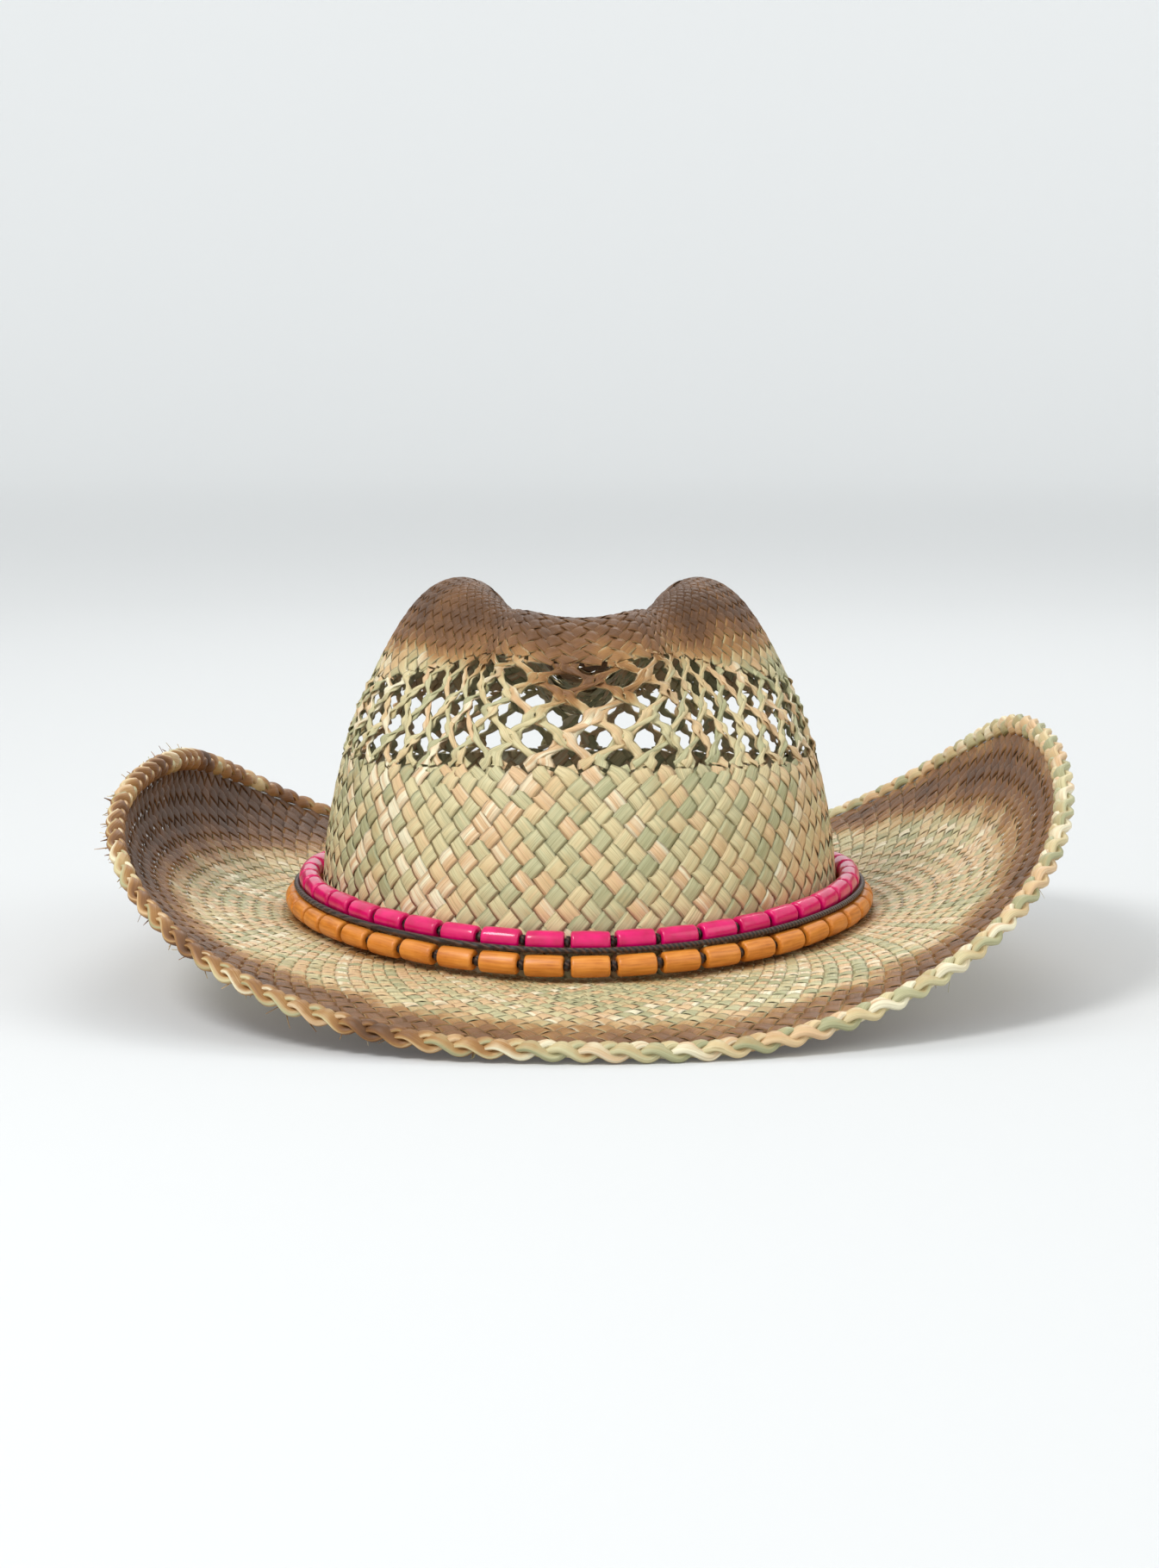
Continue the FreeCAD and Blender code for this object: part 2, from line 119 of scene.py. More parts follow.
def section(u):
    """Share of the plan and share of the height at u, on an even clamped cubic B-spline."""
    spans = len(CROWN_SECTION) - 3
    knots = np.concatenate([np.zeros(3), np.linspace(0.0, 1.0, spans + 1), np.ones(3)])
    span = np.minimum((u * spans).astype(int), spans - 1) + 3
    d = [CROWN_SECTION[span - 3 + i] for i in range(4)]
    for step in range(1, 4):
        for i in range(3, step - 1, -1):
            low = knots[i + span - 3]
            share = ((u - low) / (knots[i + 1 + span - step] - low))[..., None]
            d[i] = (1.0 - share) * d[i - 1] + share * d[i]
    return d[3][..., 0], d[3][..., 1]


def foot_rise(angle):
    return BASE_RISE * np.cos(angle) ** 2


def crown_surface(angle, u):
    plan, rise = section(np.clip(u, 0.0, 1.0))
    round_front = np.abs((np.degrees(angle) + 270.0) % 360.0 - 180.0)
    spread = np.where(round_front < DENT_ANGLE, DENT_TO_FRONT, DENT_TO_SIDE)
    dent = DENT_DEPTH * np.exp(-0.5 * ((round_front - DENT_ANGLE) / spread) ** 2)
    dent = dent * ease((rise - DENT_START) / DENT_START) * ease(plan / DENT_MIDDLE)
    x = HEAD_HALF_WIDTH * plan * (1.0 - dent) * np.cos(angle)
    y = HEAD_HALF_LENGTH * plan * (1.0 - dent) * np.sin(angle)
    drop = CROWN_DROP_BACK * ease((y - DROP_START) / DROP_RUN)
    top = FOOT_HEIGHT + BASE_RISE + CROWN_HEIGHT - drop
    foot = FOOT_HEIGHT + foot_rise(angle) - STRAW
    depth = CREASE_DEPTH * mix(CREASE_LIP, 1.0, ease((y - LIP_Y) / CREASE_RUN))
    trough = np.exp(-np.abs(x / CREASE_HALF_WIDTH) ** CREASE_FLATNESS)
    crease = depth * ease((rise - CREASE_START) / CREASE_RISE) * trough
    return np.stack([x, y, foot + (top - foot) * rise - crease], -1)


def plan_out(angle):
    out = np.stack([HEAD_HALF_LENGTH * np.cos(angle), HEAD_HALF_WIDTH * np.sin(angle)], -1)
    return out / np.linalg.norm(out, axis=-1, keepdims=True)


def brim_surface(angle, r):
    right = ease(0.5 + np.cos(angle) / SIDE_BLEND)
    side = np.degrees(np.arctan2(np.sin(angle), np.abs(np.cos(angle)))) - ROLL_CENTRE
    rolled = np.where(side > 0.0, ease(1.0 - side / ROLL_BACK), ease(1.0 + side / ROLL_FRONT))
    width = mix(BRIM_FRONT, mix(BRIM_LEFT, BRIM_RIGHT, right), rolled ** SIDE_WIDTH_FALL)
    start = mix(FRONT_START, SIDE_START, rolled)
    end = mix(FRONT_END, mix(LEFT_END, RIGHT_END, right), rolled)
    curl = mix(LEFT_CURL, RIGHT_CURL, right)
    out = 0.0
    up = 0.0
    for i in range(BRIM_SLICES):
        slope = np.radians(start + (end - start) * ((i + 0.5) / BRIM_SLICES * r) ** curl)
        out = out + np.cos(slope) * width * r / BRIM_SLICES
        up = up + np.sin(slope) * width * r / BRIM_SLICES
    away = plan_out(angle)
    x = HEAD_HALF_WIDTH * np.cos(angle) + away[..., 0] * out
    y = HEAD_HALF_LENGTH * np.sin(angle) + away[..., 1] * out
    return np.stack([x, y, FOOT_HEIGHT + foot_rise(angle) + up], -1)


def unit(vectors):
    return vectors / np.maximum(np.linalg.norm(vectors, axis=-1, keepdims=True), 1e-9)


def outward(surface, angle, u, flip):
    """Unit normal on the side that is seen: away from the head on the crown, up on the brim."""
    round_it = surface(angle + SMALL, u) - surface(angle - SMALL, u)
    along = surface(angle, u + SMALL) - surface(angle, np.maximum(u - SMALL, 0.0))
    return unit(np.cross(round_it, along)) * flip


def vent_share(angle, u):
    """0 at the foot of the openwork and 1 at its top."""
    front = ((1.0 - np.sin(angle)) / 2.0) ** VENT_FRONT_FALL
    low = mix(VENT_LOW, VENT_LOW_FRONT, front)
    high = mix(VENT_HIGH, VENT_HIGH_FRONT, front)
    return (u - low) / (high - low)


# ---- nodes and materials -------------------------------------------------------


def feed(tree, node, inputs):
    """Gives each input a value or a link."""
    for key, value in inputs.items():
        if isinstance(value, bpy.types.NodeSocket):
            tree.links.new(value, node.inputs[key])
        else:
            node.inputs[key].default_value = value


def add(tree, kind, settings=None, inputs=None):
    """Adds a node, sets its properties and feeds its inputs."""
    node = tree.nodes.new(kind)
    for key, value in (settings or {}).items():
        setattr(node, key, value)
    feed(tree, node, inputs or {})
    return node


def linear(colour):
    """sRGB hex to linear RGBA."""
    parts = [int(colour[i:i + 2], 16) / 255.0 for i in (1, 3, 5)]
    return [p / 12.92 if p <= 0.04045 else ((p + 0.055) / 1.055) ** 2.4 for p in parts] + [1.0]


def new_material(name):
    material = bpy.data.materials.new(name)
    material.use_nodes = True
    tree = material.node_tree
    return material, tree, tree.nodes["Principled BSDF"]


def ramp(tree, fac, stops):
    node = add(tree, "ShaderNodeValToRGB", inputs={"Fac": fac})
    elements = node.color_ramp.elements
    while len(elements) < len(stops):
        elements.new(0.5)
    for element, (place, colour) in zip(elements, stops):
        element.position = place
        element.color = linear(colour)
    return node.outputs["Color"]


def attribute(tree, name, output="Fac"):
    return add(tree, "ShaderNodeAttribute", {"attribute_name": name}).outputs[output]


def maths(tree, operation, a, b=0.0, c=None, clamp=False):
    settings = {"operation": operation, "use_clamp": clamp}
    inputs = {0: a, 1: b} if c is None else {0: a, 1: b, 2: c}
    return add(tree, "ShaderNodeMath", settings, inputs).outputs[0]


def times(tree, a, b):
    return maths(tree, "MULTIPLY", a, b)


def spread_about_zero(tree, value, amount):
    """A 0 to 1 pattern moved to lie about zero and scaled."""
    return times(tree, maths(tree, "SUBTRACT", value, 0.5), amount)


def object_place(tree):
    return add(tree, "ShaderNodeTexCoord").outputs["Object"]


def bumped(tree, height, strength, depth_mm):
    inputs = {"Strength": strength, "Distance": depth_mm * MM, "Height": height}
    return add(tree, "ShaderNodeBump", inputs=inputs).outputs["Normal"]


def blended(tree, fac, a, b, kind="MIX"):
    settings = {"data_type": "RGBA", "blend_type": kind}
    return add(tree, "ShaderNodeMix", settings, {"Factor": fac, 6: a, 7: b}).outputs[2]


def noise(tree, vector, scale, detail=3.0):
    inputs = {"Vector": vector, "Scale": scale, "Detail": detail}
    return add(tree, "ShaderNodeTexNoise", inputs=inputs).outputs["Fac"]


STRIP_APART = 7.3          # how far apart the patterns of two strips are taken, in cycles


def strip_coordinates(tree, across_mm, along_mm):
    """Coordinates that run with a strip, in cycles: across its width and along its length."""
    profile = attribute(tree, "profile", "Vector")
    side = add(tree, "ShaderNodeSeparateXYZ", inputs={"Vector": profile}).outputs["X"]
    half = attribute(tree, "half_width")
    across = times(tree, times(tree, side, half), 1.0 / across_mm)
    along = times(tree, attribute(tree, "along"), 1.0 / along_mm)
    strip = times(tree, attribute(tree, "strip"), STRIP_APART)
    place = add(tree, "ShaderNodeCombineXYZ", inputs={"X": across, "Y": along, "Z": strip})
    return place.outputs["Vector"], side


# Split palm leaf, dried in the shade: matt, finely ribbed along the strip, each strip its own
# shade from sage green to peach. Where the hat was toasted it is brown, and the cut edges of
# the strips stay paler.
def palm_straw(name, glossy=0.50):
    material, tree, shader = new_material(name)
    fibres_at, side = strip_coordinates(tree, 0.30, 16.0)
    fibres = noise(tree, fibres_at, 1.0, 3.0)
    broad_at, _ = strip_coordinates(tree, 1.6, 30.0)
    broad = noise(tree, broad_at, 1.0, 2.0)
    shade = maths(tree, "SUBTRACT", broad, 0.5)
    tone = maths(tree, "MULTIPLY_ADD", shade, 0.55, attribute(tree, "tone"))
    straw = ramp(tree, tone, [(0.0, "#AAA980"), (0.22, "#C3BE94"), (0.45, "#D8CA9C"),
                              (0.68, "#DEC294"), (0.85, "#DDB88D"), (1.0, "#F0E8C8")])
    streak = ramp(tree, fibres, [(0.30, "#9A8A66"), (0.55, "#FFFFFF"), (1.0, "#FFFFFF")])
    straw = blended(tree, 0.42, straw, streak, "MULTIPLY")
    specks = add(tree, "ShaderNodeTexVoronoi",
                 inputs={"Vector": broad_at, "Scale": 0.9, "Randomness": 1.0})
    speck = maths(tree, "LESS_THAN", specks.outputs["Distance"], 0.055)
    straw = blended(tree, times(tree, speck, 0.55), straw, linear("#8B6B3F"))
    patch = noise(tree, object_place(tree), 70.0, 4.0)
    toast = maths(tree, "ADD", attribute(tree, "toast"), spread_about_zero(tree, patch, 0.85))
    toast = maths(tree, "ADD", toast, spread_about_zero(tree, fibres, 0.40))
    edge = maths(tree, "POWER", maths(tree, "ABSOLUTE", side), 6.0)
    toast = maths(tree, "SUBTRACT", toast, times(tree, edge, 0.50), clamp=True)
    toasted = ramp(tree, toast, [(0.0, "#C9A66C"), (0.35, "#A87B45"),
                                 (0.65, "#7C532D"), (1.0, "#53361D")])
    fac = ramp(tree, toast, [(0.04, "#000000"), (0.42, "#FFFFFF"), (1.0, "#FFFFFF")])
    height = maths(tree, "MULTIPLY_ADD", broad, 0.8, fibres)
    feed(tree, shader, {
        "Base Color": blended(tree, fac, straw, toasted),
        "Roughness": maths(tree, "MULTIPLY_ADD", fibres, 0.25, glossy - 0.08),
        "Normal": bumped(tree, height, 0.55, 0.22),
        "IOR": 1.45})
    return material


# Turned wooden tube bead under a thick pink gloss lacquer: deep colour, sharp highlights,
# and slight pooling of the lacquer that makes the highlight wavy.
def pink_lacquer():
    material, tree, shader = new_material("pink_gloss_lacquer_on_wood")
    cloud = noise(tree, object_place(tree), 220.0, 2.0)
    feed(tree, shader, {
        "Base Color": ramp(tree, cloud, [(0.3, "#C80055"), (0.7, "#E6006E")]),
        "Normal": bumped(tree, cloud, 0.18, 0.4),
        "Roughness": 0.35,
        "Specular IOR Level": 0.3,
        "Coat Weight": 0.6,
        "Coat Roughness": 0.05})
    return material


# Turned wooden tube bead with an orange stain and a thin satin varnish: the grain runs along
# the bead and takes the stain unevenly.
def orange_stain():
    material, tree, shader = new_material("orange_stained_satin_wood")
    grain = noise(tree, attribute(tree, "grain", "Vector"), 1.0, 4.0)
    cloud = noise(tree, object_place(tree), 160.0, 3.0)
    both = maths(tree, "MULTIPLY_ADD", grain, 0.65, times(tree, cloud, 0.35))
    feed(tree, shader, {
        "Base Color": ramp(tree, both, [(0.28, "#B4600F"), (0.45, "#D07C24"),
                                        (0.6, "#E08D33"), (0.8, "#EBA24C")]),
        "Normal": bumped(tree, grain, 0.35, 0.2),
        "Roughness": 0.42,
        "Coat Weight": 0.15,
        "Coat Roughness": 0.35})
    return material


# Waxed cotton cord, dark brown: a two-ply twist about 1.5 mm long with a dull waxy sheen.
def waxed_cord():
    material, tree, shader = new_material("waxed_cotton_cord")
    inputs = {"Vector": object_place(tree), "Scale": 260.0, "Distortion": 3.0, "Detail": 2.0}
    twist = add(tree, "ShaderNodeTexWave", {"bands_direction": "DIAGONAL"}, inputs).outputs["Fac"]
    feed(tree, shader, {
        "Base Color": ramp(tree, twist, [(0.0, "#170E0A"), (0.6, "#35231A"), (1.0, "#513827")]),
        "Normal": bumped(tree, twist, 0.8, 0.3),
        "Roughness": 0.55,
        "Sheen Weight": 0.1})
    return material


# Woven cotton tape, near black: a plain weave with about one thread each 0.6 mm.
def cotton_tape():
    material, tree, shader = new_material("woven_cotton_tape")
    inputs = {"Vector": object_place(tree), "Scale": 260.0}
    across = add(tree, "ShaderNodeTexWave", {"bands_direction": "Z"}, inputs)
    round_it = add(tree, "ShaderNodeTexWave", {"bands_direction": "Y"}, inputs)
    weave = times(tree, across.outputs["Fac"], round_it.outputs["Fac"])
    feed(tree, shader, {
        "Base Color": ramp(tree, weave, [(0.0, "#14110F"), (1.0, "#3A332E")]),
        "Normal": bumped(tree, weave, 0.5, 0.3),
        "Roughness": 0.85,
        "Sheen Weight": 0.25})
    return material


# Mercerised cotton sewing thread, tan.
def sewing_thread():
    material, tree, shader = new_material("cotton_sewing_thread")
    inputs = {"Vector": object_place(tree), "Scale": 700.0}
    twist = add(tree, "ShaderNodeTexWave", {"bands_direction": "DIAGONAL"}, inputs).outputs["Fac"]
    feed(tree, shader, {
        "Base Color": ramp(tree, twist, [(0.0, "#8C7A5A"), (1.0, "#BBA883")]),
        "Roughness": 0.6})
    return material


# Cold-drawn steel wire, bright with fine draw marks.
def drawn_wire():
    material, tree, shader = new_material("drawn_steel_wire")
    marks = noise(tree, object_place(tree), 900.0, 2.0)
    feed(tree, shader, {
        "Base Color": ramp(tree, marks, [(0.3, "#8B8B8D"), (0.7, "#B4B4B6")]),
        "Metallic": 1.0,
        "Roughness": 0.35})
    return material


# ---- geometry node trees --------------------------------------------------------


def in_scene(name, data):
    thing = bpy.data.objects.new(name, data)
    bpy.context.scene.collection.objects.link(thing)
    return thing


def node_group(name, inputs):
    """A geometry tree with named inputs. Returns it with its input node and its socket names."""
    tree = bpy.data.node_groups.new(name, "GeometryNodeTree")
    tree.interface.new_socket("Geometry", in_out="INPUT", socket_type="NodeSocketGeometry")
    for label, kind in inputs:
        tree.interface.new_socket(label, in_out="INPUT", socket_type=kind)
    tree.interface.new_socket("Geometry", in_out="OUTPUT", socket_type="NodeSocketGeometry")
    return tree, add(tree, "NodeGroupInput")


def finish_group(tree, geometry, material):
    real = add(tree, "GeometryNodeRealizeInstances", inputs={0: geometry})
    smooth = add(tree, "GeometryNodeSetShadeSmooth", inputs={0: real.outputs[0]})
    coloured = add(tree, "GeometryNodeSetMaterial",
                   inputs={0: smooth.outputs[0], "Material": material})
    add(tree, "NodeGroupOutput", inputs={0: coloured.outputs[0]})


def named_vector(tree, name):
    node = add(tree, "GeometryNodeInputNamedAttribute",
               {"data_type": "FLOAT_VECTOR"}, {"Name": name})
    return node.outputs["Attribute"]


def sweep_tree():
    """Sweeps a round section along each line, drawn out to the line's across and lift arrows."""
    tree, given = node_group("sweep_strips", [("Sides", "NodeSocketInt"),
                                              ("Material", "NodeSocketMaterial")])
    lines = add(tree, "GeometryNodeMeshToCurve", inputs={"Mesh": given.outputs["Geometry"]})
    circle = add(tree, "GeometryNodeCurvePrimitiveCircle",
                 inputs={"Resolution": given.outputs["Sides"], "Radius": 1.0})
    place = add(tree, "GeometryNodeInputPosition").outputs[0]
    marked = add(tree, "GeometryNodeStoreNamedAttribute",
                 {"data_type": "FLOAT_VECTOR", "domain": "POINT"},
                 {"Geometry": circle.outputs["Curve"], "Name": "profile", "Value": place})
    tube = add(tree, "GeometryNodeCurveToMesh", inputs={"Curve": lines.outputs["Curve"],
               "Profile Curve": marked.outputs["Geometry"], "Fill Caps": True})
    parts = add(tree, "ShaderNodeSeparateXYZ", inputs={0: named_vector(tree, "profile")})
    across = add(tree, "ShaderNodeVectorMath", {"operation": "SCALE"},
                 {0: named_vector(tree, "across"), "Scale": parts.outputs["X"]})
    lift = add(tree, "ShaderNodeVectorMath", {"operation": "SCALE"},
               {0: named_vector(tree, "lift"), "Scale": parts.outputs["Y"]})
    place = add(tree, "ShaderNodeVectorMath", {"operation": "ADD"},
                {0: across.outputs[0], 1: lift.outputs[0]})
    place = add(tree, "ShaderNodeVectorMath", {"operation": "ADD"},
                {0: place.outputs[0], 1: named_vector(tree, "centre")})
    moved = add(tree, "GeometryNodeSetPosition",
                inputs={"Geometry": tube.outputs["Mesh"], "Position": place.outputs[0]})
    finish_group(tree, moved.outputs[0], given.outputs["Material"])
    return tree


def string_tree():
    """Threads one bead or knot on every point, its length along the point's ahead arrow."""
    tree, given = node_group("string_beads", [
        ("Bead", "NodeSocketObject"), ("Spin", "NodeSocketFloat"), ("Uneven", "NodeSocketFloat"),
        ("Seed", "NodeSocketInt"), ("Material", "NodeSocketMaterial")])
    bead = add(tree, "GeometryNodeObjectInfo", inputs={"Object": given.outputs["Bead"]})
    turn = add(tree, "FunctionNodeAlignRotationToVector", {"axis": "X"},
               {"Vector": named_vector(tree, "ahead")})
    least = times(tree, given.outputs["Spin"], -1.0)
    spin = add(tree, "FunctionNodeRandomValue", {"data_type": "FLOAT"},
               {2: least, 3: given.outputs["Spin"], "Seed": given.outputs["Seed"]})
    about = add(tree, "ShaderNodeCombineXYZ", inputs={"X": spin.outputs[1]})
    turned = add(tree, "FunctionNodeRotateRotation", {"rotation_space": "LOCAL"},
                 {0: turn.outputs[0], 1: about.outputs[0]})
    low = maths(tree, "SUBTRACT", 1.0, given.outputs["Uneven"])
    size = add(tree, "FunctionNodeRandomValue", {"data_type": "FLOAT"},
               {2: low, 3: 1.0, "Seed": given.outputs["Seed"]})
    put = add(tree, "GeometryNodeInstanceOnPoints",
              inputs={"Points": given.outputs["Geometry"], "Instance": bead.outputs["Geometry"],
                      "Rotation": turned.outputs[0], "Scale": size.outputs[1]})
    finish_group(tree, put.outputs[0], given.outputs["Material"])
    return tree


def run_tree(source, tree, values):
    """Evaluates a tree on an object and keeps the result as a plain mesh in its place."""
    modifier = source.modifiers.new("make", "NODES")
    modifier.node_group = tree
    for item in tree.interface.items_tree:
        if item.item_type == "SOCKET" and item.in_out == "INPUT" and item.name in values:
            modifier[item.identifier] = values[item.name]
    bpy.context.view_layer.update()
    seen = source.evaluated_get(bpy.context.evaluated_depsgraph_get())
    made = bpy.data.meshes.new_from_object(seen)
    source.modifiers.remove(modifier)
    source.data = made
    face_outwards(made)
    return source


def face_outwards(mesh):
    mesh.calc_loop_triangles()
    corners = np.empty(len(mesh.loop_triangles) * 3, np.int32)
    mesh.loop_triangles.foreach_get("vertices", corners)
    places = np.empty(len(mesh.vertices) * 3, np.float32)
    mesh.vertices.foreach_get("co", places)
    a, b, c = places.reshape(-1, 3)[corners.reshape(-1, 3)].transpose(1, 0, 2)
    if np.einsum("ij,ij->i", a, np.cross(b, c)).sum() < 0.0:
        mesh.flip_normals()


# ---- lines that strips follow ----------------------------------------------------


def line_object(name, centre, across, lift, extra, cyclic=False):
    """Lines of points and their arrows, as arrays of shape (lines, points, 3), in mm."""
    lines, points = centre.shape[:2]
    mesh = bpy.data.meshes.new(name)
    index = np.arange(lines * points).reshape(lines, points)
    edges = np.stack([index[:, :-1], index[:, 1:]], -1).reshape(-1, 2)
    if cyclic:
        edges = np.concatenate([edges, np.stack([index[:, -1], index[:, 0]], -1)])
    flat = (centre * MM).reshape(-1, 3)
    mesh.from_pydata(flat.tolist(), edges.tolist(), [])
    for label, values in (("centre", centre), ("across", across), ("lift", lift)):
        layer = mesh.attributes.new(label, "FLOAT_VECTOR", "POINT")
        layer.data.foreach_set("vector", (values * MM).astype(np.float32).ravel())
    for label, values in extra.items():
        layer = mesh.attributes.new(label, "FLOAT", "POINT")
        values = np.broadcast_to(values, (lines, points))
        layer.data.foreach_set("value", values.astype(np.float32).ravel())
    return in_scene(name, mesh)


def swept(name, centre, across, lift, extra, material, sides=6, cyclic=False):
    piece = line_object(name, centre, across, lift, extra, cyclic)
    run_tree(piece, SWEEP, {"Sides": sides, "Material": material})
    for label in ("centre", "across", "lift"):
        piece.data.attributes.remove(piece.data.attributes[label])
    return piece


def joined(name, pieces):
    with bpy.context.temp_override(active_object=pieces[0], selected_editable_objects=pieces):
        bpy.ops.object.join()
    pieces[0].name = name
    return pieces[0]


def plait_lines(surface, flip, angle, u, over, spacing, amount, opened, sway):
    """Turns a strip's path on a surface into its middle line and its arrows.

    over is 1 where the strip lies on top of a crossing and -1 where it lies below, spacing is the
    angle between strips, amount is the share of the room that a strip fills, and opened is 1
    where the strip is drawn in to a strand.
    """
    middle = surface(angle, u)
    normal = outward(surface, angle, u, flip)
    ahead = unit(np.gradient(middle, axis=1))
    beside = (surface(angle + SMALL, u) - middle) / SMALL * spacing[..., None]
    room = np.linalg.norm(np.cross(beside, ahead), axis=-1, keepdims=True)
    side = unit(np.cross(normal, ahead))
    opened = opened[..., None]
    wave = np.minimum(WAVE * room, mix(0.42, 0.55, opened))
    half_width = room / 2.0 * amount[..., None] * mix(1.0, STRAND_SHARE, opened)
    half_thick = mix(STRIP_HALF_THICK, STRAND_HALF_THICK, opened)
    tilt = sway[..., None]
    across = (side * np.cos(tilt) + normal * np.sin(tilt)) * half_width
    lift = (normal * np.cos(tilt) - side * np.sin(tilt)) * half_thick
    centre = middle - normal * STRAW / 2.0 + normal * wave * over[..., None]
    step = np.linalg.norm(np.diff(centre, axis=1), axis=-1)
    along = np.concatenate([np.zeros((len(step), 1)), np.cumsum(step, axis=1)], 1)
    return centre, across, lift, {"along": along, "half_width": half_width[..., 0]}


# ---- the plait -------------------------------------------------------------------

CROWN_STRIPS = 72          # in each leaning family
BRIM_STRIPS = 140
CROWN_STEPS = 10           # points of a strip for each two crossings
BRIM_STEPS = 8
WAVE = 0.085               # how far strips ride over each other, a share of their spacing
STRIP_HALF_THICK = 0.17
STRAND_HALF_THICK = 0.36
STRAND_SHARE = 0.52        # width of a strand of the openwork, a share of its strip's width
CROWN_END = 0.865          # the round plait ends here and the square tip plait closes the top
NOSE_SPREAD = 0.62         # strips of the pinch are this much further apart
NOSE_REACH = 33.0          # over this many degrees each side
TWIST = 0.62               # how upright strands run where two pairs cross
PAIR_SHARE = 0.34          # how far apart the strands of a pair stay, a share of their spacing
TIP_SPACING = 6.2          # of the square plait that closes the top
TIP_TUCK = 0.03            # how far it goes under the round plait, as u
TIP_SAMPLES = 160
TIP_POINTS = 72


def crown_turns(u):
    """Strip spacings that a strip leans over from the foot up to u, leaning 45 degrees."""
    plan, rise = section(u)
    reach = (HEAD_HALF_WIDTH + HEAD_HALF_LENGTH) / 2.0
    length = np.hypot(np.gradient(plan) * reach, np.gradient(rise) * CROWN_HEIGHT)
    return np.cumsum(length * CROWN_STRIPS / (TURN * reach * plan))


# Toasting: how strong it is, where it starts and the length over which it comes in. Heights
# are above the floor and lengths are in millimetres.
TOP_TOAST, TOP_FROM, TOP_FADE = 0.95, 95.0, 26.0
PINCH_TOAST, PINCH_FROM, PINCH_FADE, PINCH_HALF_WIDTH = 0.75, 88.0, 14.0, 24.0
RIGHT_TOAST, RIGHT_TO, RIGHT_FADE = 0.62, 36.0, 20.0
LEFT_TOAST, LEFT_TO, LEFT_FADE = 0.22, 34.0, 16.0


def toast_on_crown(centre):
    x, y, z = centre[..., 0], centre[..., 1], centre[..., 2]
    high = TOP_TOAST * ease((z - TOP_FROM) / TOP_FADE)
    pinch = PINCH_TOAST * ease((z - PINCH_FROM) / PINCH_FADE)
    pinch = pinch * np.exp(-(x / PINCH_HALF_WIDTH) ** 2) * (y < 0.0)
    foot = RIGHT_TOAST * ease((RIGHT_TO - z) / RIGHT_FADE) * ease((x - 20.0) / 45.0)
    foot_left = LEFT_TOAST * ease((LEFT_TO - z) / LEFT_FADE) * ease((-x - 45.0) / 30.0)
    return np.maximum(np.maximum(high, pinch), np.maximum(foot, foot_left))


def toast_on_brim(angle, r):
    side = np.cos(angle)
    front = ease(-np.sin(angle))
    start = 0.62 - 0.08 * np.abs(side) - 0.06 * ease(-side)
    rim = ease((r - start) / 0.36) * (0.86 - 0.12 * front)
    rim = rim * (1.0 - 0.35 * ease((r - 0.93) / 0.07) * ease(side / 0.5))
    left = 0.16 * ease((-side - 0.2) / 0.5) * ease((r - 0.30) / 0.3)
    band = 0.50 * ease((0.26 - r) / 0.20) * (0.55 + 0.45 * np.abs(side))
    return np.clip(rim + left + band, 0.0, 1.0)


def strip_looks(lines, points, narrow, wide):
    """A shade, a width and a number of its own for each strip, and a slow wander of its tilt."""
    tone = chance.uniform(0.0, 1.0, (lines, 1)) * np.ones((1, points))
    amount = chance.uniform(narrow, wide, (lines, 1)) * np.ones((1, points))
    number = np.arange(lines)[:, None] + chance.integers(0, 500) + np.zeros((1, points))
    phase = chance.uniform(0.0, TURN, (lines, 1))
    return tone, amount, number, phase


def crown_family(direction):
    u_table = np.linspace(0.0, CROWN_END, 600)
    turns_table = crown_turns(u_table)
    points = int(turns_table[-1] * CROWN_STEPS)
    turns = np.linspace(0.0, turns_table[-1], points)[None, :]
    u = np.interp(turns, turns_table, u_table) * np.ones((CROWN_STRIPS, 1))
    first = np.arange(CROWN_STRIPS)[:, None]
    angle = TURN * (first + direction * turns) / CROWN_STRIPS - TURN / 4.0
    vent = vent_share(angle, u)
    opened = ease((vent + 0.06) / 0.16) * ease((1.06 - vent) / 0.16)
    partner = np.where(first % 2 == 0, 1.0, -1.0)
    twine = TURN * turns / 2.0
    together = partner * (1.0 - PAIR_SHARE * np.cos(twine)) / 2.0
    upright = direction * TWIST * np.sin(TURN * turns) / TURN
    angle = angle + TURN / CROWN_STRIPS * opened * (together - upright)
    front = (np.degrees(angle) + 270.0) % 360.0 - 180.0
    spread = NOSE_SPREAD * ease((u - 0.30) / 0.25) * np.exp(-(front / NOSE_REACH) ** 2)
    angle = angle + np.radians(front) * spread
    spacing = TURN / CROWN_STRIPS * (1.0 + spread * (1.0 - 2.0 * (front / NOSE_REACH) ** 2))
    tone, amount, number, phase = strip_looks(CROWN_STRIPS, points, 0.94, 1.02)
    sway = mix(0.06, 0.55, opened) * np.sin(TURN * turns * 1.5 + phase)
    over = direction * mix(np.cos(TURN * turns), np.cos(TURN * turns / 2.0), opened)
    over = over + opened * partner * np.sin(twine) * 0.7
    centre, across, lift, extra = plait_lines(crown_surface, 1.0, angle, u, over,
                                              spacing, amount, opened, sway)
    extra.update(tone=tone, strip=number, toast=toast_on_crown(centre))
    return centre, across, lift, extra, vent


